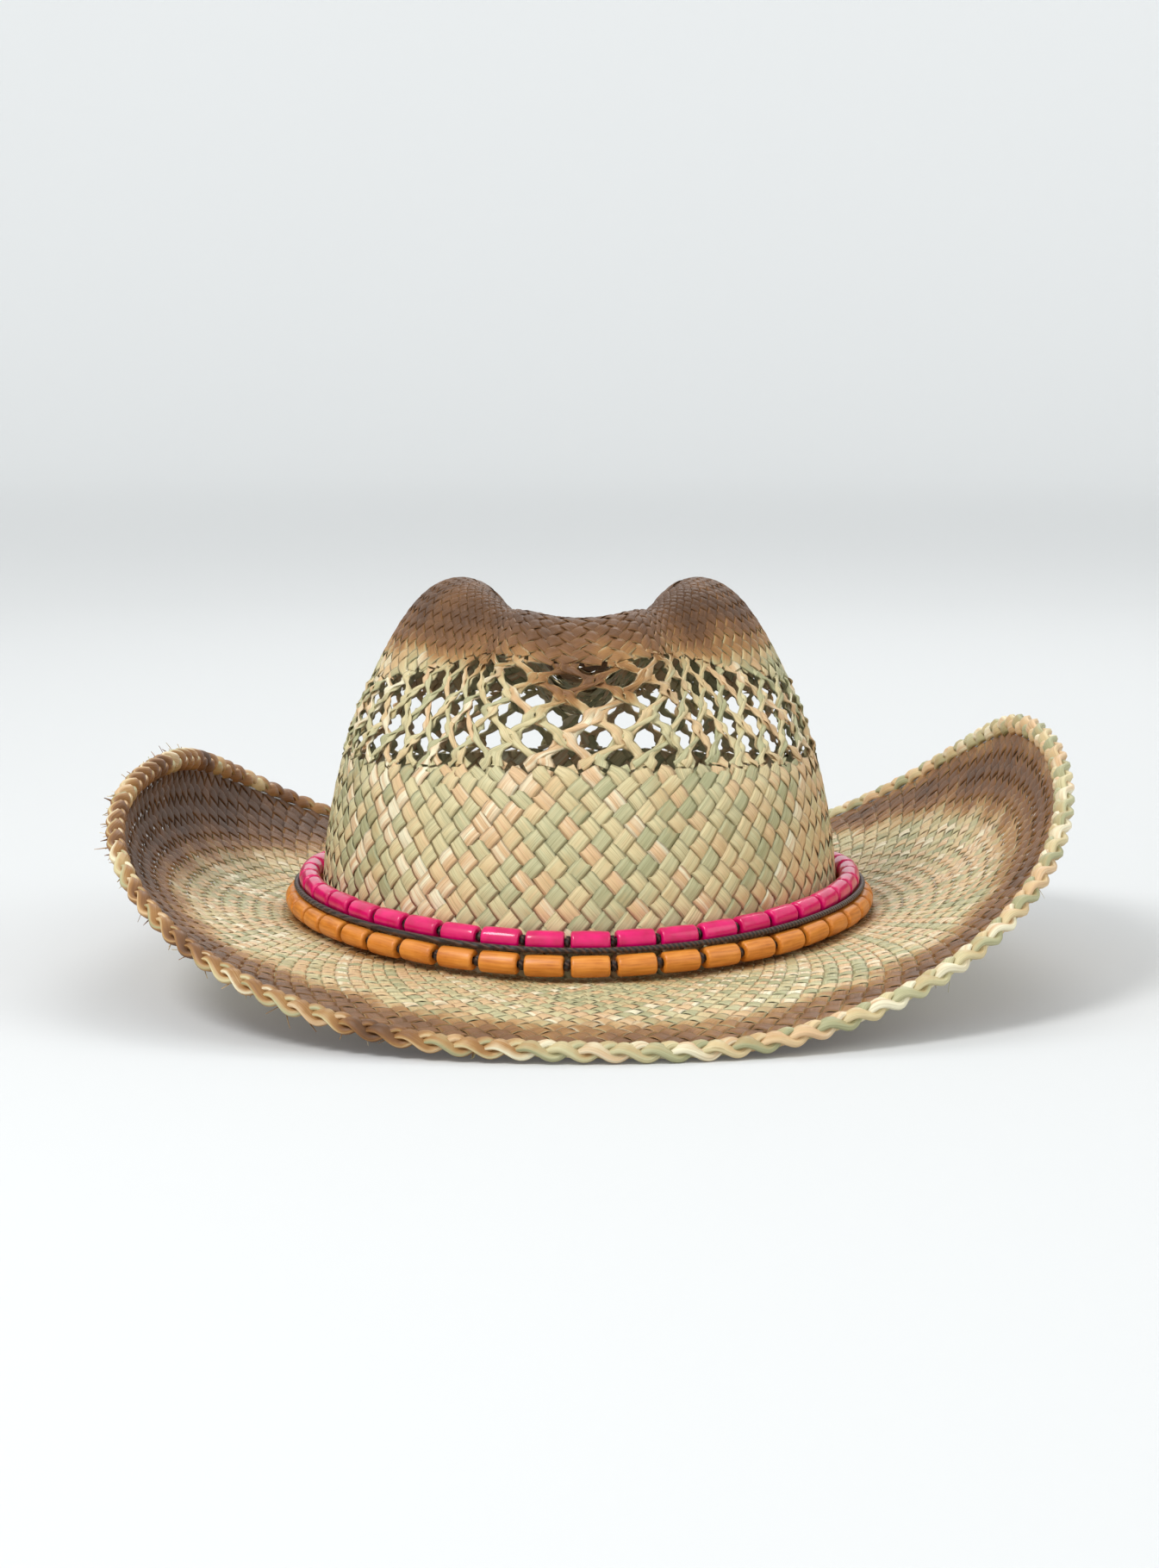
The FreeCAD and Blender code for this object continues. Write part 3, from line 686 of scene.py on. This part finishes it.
def cut_lines(kept, arrays):
    """Keeps each line from its first kept point to its last, with as many points on every line."""
    first = kept.argmax(axis=1)
    last = kept.shape[1] - 1 - kept[:, ::-1].argmax(axis=1)
    points = int((last - first).max()) + 1
    index = first[:, None] + np.linspace(0.0, 1.0, points)[None, :] * (last - first)[:, None]
    low = np.floor(index).astype(int)
    high = np.minimum(low + 1, kept.shape[1] - 1)
    share = index - low
    rows = np.arange(len(kept))[:, None]
    cut = []
    for values in arrays:
        part = share if values.ndim == 2 else share[..., None]
        cut.append(values[rows, low] * (1.0 - part) + values[rows, high] * part)
    return cut


def crown_region(name, families, low, high, material):
    pieces = []
    for centre, across, lift, extra, vent in families:
        labels = list(extra)
        kept = (vent >= low) & (vent <= high)
        cut = cut_lines(kept, [centre, across, lift] + [extra[label] for label in labels])
        pieces.append(swept(name, *cut[:3], dict(zip(labels, cut[3:])), material))
    return joined(name, pieces)


def brim_family(name, direction, material):
    r_table = np.linspace(0.0, 1.03, 400)
    ring = np.linspace(0.0, TURN, 241)[:, None]
    outline = brim_surface(ring, r_table[None, :])
    around = np.linalg.norm(np.diff(outline, axis=0), axis=-1).sum(axis=0)
    step = np.linalg.norm(np.diff(outline, axis=1), axis=-1).mean(axis=0)
    turns_table = np.concatenate([[0.0], np.cumsum(step * BRIM_STRIPS / around[1:])])
    points = int(turns_table[-1] * BRIM_STEPS)
    turns = np.linspace(0.0, turns_table[-1], points)[None, :]
    r = np.interp(turns, turns_table, r_table) * np.ones((BRIM_STRIPS, 1))
    angle = TURN * (np.arange(BRIM_STRIPS)[:, None] + direction * turns) / BRIM_STRIPS
    tone, amount, number, phase = strip_looks(BRIM_STRIPS, points, 1.02, 1.14)
    sway = 0.05 * np.sin(TURN * turns * 1.5 + phase)
    over = direction * np.cos(TURN * turns)
    closed = np.zeros_like(angle)
    spacing = np.full_like(angle, TURN / BRIM_STRIPS)
    centre, across, lift, extra = plait_lines(brim_surface, -1.0, angle, r, over,
                                              spacing, amount, closed, sway)
    extra.update(tone=tone, strip=number, toast=toast_on_brim(angle, r))
    return swept(name, centre, across, lift, extra, material)


def tip_plait(material):
    """Square plait that closes the crown's top inside the round plait, tucked under its ends."""
    u_table = np.linspace(1.0, CROWN_END - TIP_TUCK, 200)
    plan_table = section(u_table)[0]
    pieces = []
    reach = HEAD_HALF_LENGTH * plan_table[-1]
    count = int(reach / TIP_SPACING)
    for direction in (1.0, -1.0):
        rows = []
        for i in range(-count, count + 1):
            run = np.linspace(-reach, reach, TIP_SAMPLES)
            x = (i * TIP_SPACING + run) / math.sqrt(2.0)
            y = direction * (i * TIP_SPACING - run) / math.sqrt(2.0)
            plan = np.hypot(x / HEAD_HALF_WIDTH, y / HEAD_HALF_LENGTH)
            inside = np.flatnonzero(plan < plan_table[-1])
            if len(inside) < 12:
                continue
            index = np.linspace(inside[0], inside[-1], TIP_POINTS)
            every = np.arange(TIP_SAMPLES)
            rows.append([np.interp(index, every, values) for values in (x, y, run)] + [i])
        x, y, run = (np.array([row[k] for row in rows]) for k in range(3))
        number = np.array([row[3] for row in rows])[:, None]
        plan = np.hypot(x / HEAD_HALF_WIDTH, y / HEAD_HALF_LENGTH)
        u = np.interp(plan, plan_table, u_table)
        angle = np.arctan2(y / HEAD_HALF_LENGTH, x / HEAD_HALF_WIDTH)
        middle = crown_surface(angle, u)
        round_it = crown_surface(angle + SMALL, u) - middle
        normal = unit(np.cross(round_it, crown_surface(angle, u - SMALL) - middle))
        normal = normal * np.sign(normal[..., 2:])
        ahead = unit(np.gradient(middle, axis=1))
        side = unit(np.cross(normal, ahead))
        over = direction * np.cos(math.pi * (run / TIP_SPACING + number * direction))
        sunk = STRAW / 2.0 + 0.8 * ease((plan - plan_table[-1] + 0.09) / 0.06)
        centre = middle + normal * (0.4 * over - sunk)[..., None]
        lines, points = run.shape
        tone, amount, strip, _ = strip_looks(lines, points, 0.98, 1.04)
        half_width = amount * TIP_SPACING / 2.0
        extra = {"along": run + reach, "half_width": half_width, "tone": tone, "strip": strip,
                 "toast": toast_on_crown(centre)}
        pieces.append(swept("crown_tip_plait", centre, side * half_width[..., None],
                            normal * STRIP_HALF_THICK, extra, material))
    return joined("crown_tip_plait", pieces)


# ---- plaited edge ------------------------------------------------------------------

BRAID_STRANDS = 3
BRAID_REPEATS = 42         # full swings of a strand round the brim
BRAID_SWING = 1.6
BRAID_RISE = 1.45
BRAID_HALF_WIDTH = 2.5
BRAID_HALF_THICK = 1.35
BRAID_INWARD = 0.9         # the plait sits this much inside the middle of its tube
WIRE_CORE = 0.5            # the bare wire; a sewn casing fills the rest of its room


def braid_line(angle):
    """Middle of the braid with its outward and upward directions."""
    edge = brim_surface(angle, np.ones_like(angle))
    up = outward(brim_surface, angle, np.ones_like(angle), -1.0)
    out = unit(edge - brim_surface(angle, np.full_like(angle, 0.99)))
    return edge - up * STRAW / 2.0 + out * BRAID_REACH, out, up


def edge_braid(material):
    points = BRAID_REPEATS * 30
    angle = np.linspace(0.0, TURN, points, endpoint=False)
    middle, out, up = braid_line(angle)
    step = np.linalg.norm(np.roll(middle, -1, axis=0) - middle, axis=-1)
    swing = (np.cumsum(step) - step[0]) / step.sum() * TURN * BRAID_REPEATS
    phases = np.arange(BRAID_STRANDS)[:, None] * TURN / BRAID_STRANDS + swing[None, :]
    centre = middle + out * (BRAID_SWING * np.sin(phases) - BRAID_INWARD)[..., None]
    centre = centre + up * (BRAID_RISE * np.sin(2.0 * phases))[..., None]
    ahead = unit(np.roll(centre, -1, axis=1) - np.roll(centre, 1, axis=1))
    side = unit(np.cross(up, ahead))
    lean = 0.35 * np.sin(phases)[..., None]
    across = (side * np.cos(lean) + up * np.sin(lean)) * BRAID_HALF_WIDTH
    lift = unit(np.cross(ahead, across)) * BRAID_HALF_THICK
    patch = 0.5 + 0.5 * np.sin(angle * 9.0) * np.sin(angle * 23.0 + 1.0)
    left = ease((0.15 - np.cos(angle)) / 0.5)
    toast = np.clip(0.05 + left * (0.15 + 0.6 * patch) + 0.1 * patch, 0.0, 1.0)
    step = np.linalg.norm(np.diff(centre, axis=1), axis=-1)
    along = np.concatenate([np.zeros((BRAID_STRANDS, 1)), np.cumsum(step, axis=1)], 1)
    tone = 0.5 + 0.5 * np.sin(along / 60.0 + np.arange(BRAID_STRANDS)[:, None] * 2.0)
    extra = {"along": along, "half_width": BRAID_HALF_WIDTH, "tone": tone,
             "strip": np.arange(BRAID_STRANDS)[:, None], "toast": toast[None, :]}
    return swept("brim_edge_plait", centre, across, lift, extra, material, 8, True)


# ---- loose ends ---------------------------------------------------------------------

LOOSE_ENDS = 150
LEAST_HEIGHT = 1.0         # of a loose end above the floor


def loose_ends(material):
    """Split ends of leaf that stick out of the edge, most of them under the left side."""
    each = (LOOSE_ENDS, 1, 1)
    run = np.linspace(0.0, 1.0, 7)[None, :, None]
    angle = math.pi + chance.normal(0.0, 0.75, (LOOSE_ENDS, 1))
    angle[::4] = chance.uniform(0.0, TURN, (len(angle[::4]), 1))
    middle, out, up = braid_line(angle)
    root = middle + out * chance.uniform(-4.0, 0.6, each) - up * chance.uniform(0.5, 1.9, each)
    round_it = unit(np.cross(up, out))
    side = round_it * chance.uniform(-1.0, 1.0, each)
    ahead = unit(side - up * chance.uniform(0.2, 0.8, each) + out * chance.uniform(-0.2, 0.5, each))
    bend = unit(round_it * chance.uniform(-1.0, 1.0, each) - up * 0.3)
    length = chance.uniform(2.0, 6.5, each)
    centre = root + ahead * length * run + bend * length * 0.35 * run ** 2
    centre[..., 2] = np.maximum(centre[..., 2], LEAST_HEIGHT)
    along = unit(np.gradient(centre, axis=1))
    half_width = chance.uniform(0.15, 0.75, each) * (1.0 - 0.85 * run)
    across = unit(np.cross(along, up)) * half_width
    lift = unit(np.cross(along, across)) * 0.12
    extra = {"along": length[..., 0] * run[..., 0], "half_width": 0.5,
             "tone": chance.uniform(0.0, 1.0, (LOOSE_ENDS, 1)),
             "strip": np.arange(LOOSE_ENDS)[:, None],
             "toast": chance.uniform(0.0, 0.8, (LOOSE_ENDS, 1))}
    return swept("loose_ends", centre, across, lift, extra, material, 5)


# ---- hatband -------------------------------------------------------------------------

BEAD_RADIUS = 3.5
BEAD_LENGTH = 12.4
BEAD_BORE = 1.3
BEAD_ROUNDING = 0.95
BARREL = 0.10              # how much thinner a bead is where its rounding starts
PINK_GAP = 1.5
ORANGE_GAP = 1.9
BAND_CLEARANCE = 0.6
ROW_GAP = 1.3
ROW_LEAN = math.radians(33.0)
FIRST_BEAD = 3.4
CORD_RADIUS = 0.9
MIDDLE_CORD_CLEARANCE = 0.4
KNOT_RADIUS = 1.9
JITTER = 0.15              # how far beads sit above or below their row
SPIN = 3.1                 # beads and knots are turned by up to this many radians
BEAD_UNEVEN = 0.03         # the smallest is this share smaller than the largest
KNOT_UNEVEN = 0.1
BEAD_WOBBLE = 0.02         # how far they point away from their row
KNOT_WOBBLE = 0.15
KNOT_FILL = 0.9            # of the gap between two beads
ROW_STEP = (2.0 * BEAD_RADIUS + ROW_GAP) * math.sin(ROW_LEAN)
ROW_DROP = (2.0 * BEAD_RADIUS + ROW_GAP) * math.cos(ROW_LEAN)
PINK_OFFSET = BEAD_RADIUS + BAND_CLEARANCE
ORANGE_OFFSET = PINK_OFFSET + ROW_STEP
SIDE_SLOPE = math.tan(math.radians(SIDE_START))
ORANGE_HEIGHT = BEAD_RADIUS + BAND_CLEARANCE + ORANGE_OFFSET * SIDE_SLOPE
PINK_HEIGHT = ORANGE_HEIGHT + ROW_DROP


def band_point(angle, offset, height):
    away = plan_out(angle)
    x = HEAD_HALF_WIDTH * np.cos(angle) + away[..., 0] * offset
    y = HEAD_HALF_LENGTH * np.sin(angle) + away[..., 1] * offset
    return np.stack([x, y, FOOT_HEIGHT + foot_rise(angle) + height], -1)


def row_places(offset, height, least_gap, tie_slots):
    """Angles of the beads and of the knots between them, and the gap between two beads."""
    angles = np.linspace(-TURN / 4.0, TURN * 0.75, 1441)
    points = band_point(angles, offset, height)
    steps = np.linalg.norm(np.diff(points, axis=0), axis=-1)
    lengths = np.concatenate([[0.0], np.cumsum(steps)])
    slots = int(lengths[-1] / (BEAD_LENGTH + least_gap))
    pitch = lengths[-1] / slots
    wanted = (FIRST_BEAD + np.arange(2 * slots) * pitch / 2.0) % lengths[-1]
    places = np.interp(wanted, lengths, angles)
    first_tie = slots // 2 - (tie_slots - 1) // 2
    ties = range(first_tie, first_tie + tie_slots)
    taken = np.array([slot for slot in range(slots) if slot not in ties])
    between = np.array([slot for slot in taken if slot + 1 in taken or slot == slots - 1])
    return places[2 * taken], places[2 * between + 1], pitch - BEAD_LENGTH


def lathe(name, outline, around):
    """A turned shape about the X axis from a closed outline of (x, radius) in mm."""
    mesh = bpy.data.meshes.new(name)
    turn = np.linspace(0.0, TURN, around, endpoint=False)
    outline = np.array(outline)
    x = np.repeat(outline[:, 0], around)
    radius = np.repeat(outline[:, 1], around)
    spin = np.tile(turn, len(outline))
    places = np.stack([x, radius * np.cos(spin), radius * np.sin(spin)], -1) * MM
    faces = []
    for i in range(len(outline)):
        a, b = i * around, (i + 1) % len(outline) * around
        for k in range(around):
            faces.append((a + k, b + k, b + (k + 1) % around, a + (k + 1) % around))
    mesh.from_pydata(places.tolist(), [], faces)
    layer = mesh.attributes.new("grain", "FLOAT_VECTOR", "POINT")
    cells = np.stack([x / 9.0, radius * np.cos(spin) / 0.7, radius * np.sin(spin) / 0.7], -1)
    layer.data.foreach_set("vector", cells.astype(np.float32).ravel())
    face_outwards(mesh)
    return bpy.data.objects.new(name, mesh)


def tube_bead():
    """A turned tube bead: slightly barrelled, rounded ends, drilled through."""
    half = BEAD_LENGTH / 2.0
    edge = BEAD_ROUNDING
    outline = [(-half + 0.15, BEAD_BORE), (-half, BEAD_BORE + 0.3),
               (-half, BEAD_RADIUS - edge - 0.25)]
    for turn in (0.25, 0.6, 0.95, 1.3, math.pi / 2.0):
        outline.append((-half + edge * (1.0 - math.cos(turn)),
                        BEAD_RADIUS - BARREL - edge * (1.0 - math.sin(turn))))
    outline += [(-half * 0.4, BEAD_RADIUS), (0.0, BEAD_RADIUS)]
    mirrored = [(-x, radius) for x, radius in reversed(outline[:-1])]
    return lathe("tube_bead", outline + mirrored, 28)


def cord_knot(length):
    half = length / 2.0
    outline = [(-half, 0.7), (-half, 1.3), (-half * 0.7, KNOT_RADIUS),
               (-half * 0.2, KNOT_RADIUS * 0.93), (half * 0.3, KNOT_RADIUS),
               (half * 0.8, KNOT_RADIUS * 0.9), (half, 1.2), (half, 0.7)]
    return lathe("cord_knot", outline, 12)


def threaded(name, angles, offset, height, bead, spin, uneven, seed, material, wobble=0.0):
    """Places on a row, each with an arrow along the row, given to the threading tree."""
    place = band_point(angles, offset, height + chance.uniform(-JITTER, JITTER, angles.shape))
    ahead = band_point(angles + 0.01, offset, height) - band_point(angles - 0.01, offset, height)
    ahead = unit(ahead)
    ahead = unit(ahead + chance.uniform(-wobble, wobble, ahead.shape))
    mesh = bpy.data.meshes.new(name)
    mesh.from_pydata((place * MM).tolist(), [], [])
    layer = mesh.attributes.new("ahead", "FLOAT_VECTOR", "POINT")
    layer.data.foreach_set("vector", ahead.astype(np.float32).ravel())
    piece = in_scene(name, mesh)
    values = {"Bead": bead, "Spin": spin, "Uneven": uneven, "Seed": seed, "Material": material}
    return run_tree(piece, STRING, values)


def row_cord(name, offset, height, material):
    angle = np.linspace(0.0, TURN, 240, endpoint=False)
    centre = band_point(angle, offset, height)[None]
    ahead = unit(np.roll(centre, -1, axis=1) - np.roll(centre, 1, axis=1))
    side = unit(np.cross(ahead, np.array([0.0, 0.0, 1.0])))
    lift = np.cross(side, ahead)
    return swept(name, centre, side * CORD_RADIUS, lift * CORD_RADIUS, {}, material, 10, True)


def beaded_row(colour, offset, height, least_gap, tie_slots, material, seed):
    """One row of beads, with a knot of cord between each two and the cord through them all."""
    bead_angles, knot_angles, gap = row_places(offset, height, least_gap, tie_slots)
    beads = threaded(colour + "_beads", bead_angles, offset, height, bead,
                     SPIN, BEAD_UNEVEN, seed, material, BEAD_WOBBLE)
    arcs = [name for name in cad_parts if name.startswith(colour + "_beads_arc")]
    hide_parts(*arcs)
    knots = threaded(colour + "_cord_knots", knot_angles, offset, height,
                     cord_knot(gap * KNOT_FILL), SPIN, KNOT_UNEVEN, seed, cord, KNOT_WOBBLE)
    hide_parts(colour + "_row_knots")
    through = row_cord(colour + "_cord", offset, height, cord)
    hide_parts(colour + "_row_cord")
    for piece in (beads, knots, through):
        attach(piece, "hatband")


# ---- build ------------------------------------------------------------------------------

SWEEP = sweep_tree()
STRING = string_tree()

straw = palm_straw("plaited_palm_leaf")
edge_straw = palm_straw("plaited_palm_leaf_edge", 0.46)
cord = waxed_cord()
pink = pink_lacquer()
orange = orange_stain()

families = [crown_family(1.0), crown_family(-1.0)]
wall = crown_region("crown_wall_plait", families, -9.0, 0.0, straw)
vent = crown_region("crown_openwork", families, 0.0, 1.0, straw)
top = crown_region("crown_top_plait", families, 1.0, 9.0, straw)
tip = tip_plait(straw)
brim_right = brim_family("brim_strips_leaning_right", 1.0, straw)
brim_left = brim_family("brim_strips_leaning_left", -1.0, straw)
edge = edge_braid(edge_straw)

ends = loose_ends(edge_straw)

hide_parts("crown_wall")
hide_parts("vent_strips_leaning_right", "vent_strips_leaning_left")
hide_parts("crown_top")
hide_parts("brim")
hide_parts("brim_edge_braid")
for piece in (wall, vent, top, tip, brim_right, brim_left):
    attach(piece, "hat")
for piece in (edge, ends):
    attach(piece, "hat")

bead = tube_bead()
beaded_row("pink", PINK_OFFSET, PINK_HEIGHT, PINK_GAP, 1, pink, 3)
beaded_row("orange", ORANGE_OFFSET, ORANGE_HEIGHT, ORANGE_GAP, 2, orange, 5)

rows_apart = math.hypot(ROW_STEP, ROW_DROP)
from_bead = BEAD_RADIUS + CORD_RADIUS + MIDDLE_CORD_CLEARANCE
proud = math.sqrt(from_bead ** 2 - (rows_apart / 2.0) ** 2)
middle = row_cord("cord_between_the_rows",
                  PINK_OFFSET + ROW_STEP / 2.0 + proud * ROW_DROP / rows_apart,
                  ORANGE_HEIGHT + ROW_DROP / 2.0 + proud * ROW_STEP / rows_apart, cord)
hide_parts("cord_between_rows")
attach(middle, "hatband")

around = np.linspace(0.0, TURN, 240, endpoint=False)
wire_middle, wire_out, wire_up = braid_line(around)
wire_middle = (wire_middle - wire_out * (BRAID_REACH - WIRE_REACH))[None]
wire = swept("edge_wire", wire_middle, wire_out[None] * WIRE_CORE, wire_up[None] * WIRE_CORE, {},
             drawn_wire(), 10, True)
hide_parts("brim_edge_wire")
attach(wire, "hat")

for node, material in (("sweatband", cotton_tape()), ("sweatband_stitching", sewing_thread()),
                       ("band_tie_knot", cord)):
    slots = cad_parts[node].data.materials
    slots.clear()
    slots.append(material)


# ---- floor, light and camera ----------------------------------------------------------------

CAMERA_AWAY = 1.5
CAMERA_HEIGHT_ANGLE = math.radians(7.0)
AIM_HEIGHT = 0.0590
LIGHT_AIM_HEIGHT = 0.06
SENSOR = 36.0
LENS = 103.15


def area_light(name, place, size, power):
    data = bpy.data.lights.new(name, "AREA")
    data.shape = "DISK"
    data.size = size
    data.energy = power
    light = in_scene(name, data)
    light.location = place
    towards = Vector((0.0, 0.0, LIGHT_AIM_HEIGHT)) - Vector(place)
    light.rotation_euler = towards.to_track_quat("-Z", "Y").to_euler()


def studio():
    """A round matt floor that sweeps up into a wall behind the lights, the same all round."""
    mesh = bpy.data.meshes.new("studio_floor")
    flat, bend, wall, around = 3.0, 2.0, 4.0, 96
    outline = [(0.02, 0.0), (flat, 0.0)]
    outline += [(flat + bend * math.sin(t), bend * (1.0 - math.cos(t)))
                for t in np.linspace(0.1, math.pi / 2.0, 16)]
    outline.append((flat + bend, bend + wall))
    turns = [TURN * k / around for k in range(around)]
    places = [(radius * math.cos(t), radius * math.sin(t), z)
              for radius, z in outline for t in turns]
    faces = [tuple(range(around))]
    for i in range(len(outline) - 1):
        for k in range(around):
            a, b, c = i * around + k, i * around + (k + 1) % around, around
            faces.append((a, b, b + c, a + c))
    mesh.from_pydata(places, [], faces)
    mesh.shade_smooth()
    floor = in_scene("studio_floor", mesh)
    # Matt white acrylic, lit a little from below.
    material, tree, shader = new_material("matt_white_acrylic_floor")
    away = add(tree, "ShaderNodeVectorMath", {"operation": "LENGTH"}, {0: object_place(tree)})
    glow = add(tree, "ShaderNodeMapRange",
               inputs={"Value": away.outputs["Value"], "From Min": flat / 2.0,
                       "From Max": flat + bend, "To Min": 0.07, "To Max": 0.40})
    feed(tree, shader, {
        "Base Color": linear("#CFD0D0"),
        "Roughness": 0.9,
        "Emission Color": linear("#F3F6F7"),
        "Emission Strength": glow.outputs["Result"]})
    mesh.materials.append(material)
    world = bpy.data.worlds.new("studio")
    world.use_nodes = True
    feed(world.node_tree, world.node_tree.nodes["Background"],
         {"Color": linear("#F4F6F7"), "Strength": 0.74})
    bpy.context.scene.world = world
    area_light("key_above_front_left", (-0.9, -1.0, 1.5), 0.7, 21.0)
    area_light("fill_right", (1.4, -0.7, 0.9), 1.2, 4.0)
    area_light("back_above", (0.2, 1.2, 1.3), 0.8, 7.0)


def camera():
    data = bpy.data.cameras.new("camera")
    data.lens = LENS
    data.sensor_width = SENSOR
    data.clip_start = 0.01
    view = in_scene("camera", data)
    away = Vector((0.0, -math.cos(CAMERA_HEIGHT_ANGLE), math.sin(CAMERA_HEIGHT_ANGLE)))
    away = away * CAMERA_AWAY
    view.location = Vector((0.0, 0.0, AIM_HEIGHT)) + away
    view.rotation_euler = (-away).to_track_quat("-Z", "Y").to_euler()
    bpy.context.scene.camera = view


studio()
camera()
bpy.context.scene.view_settings.view_transform = "Standard"
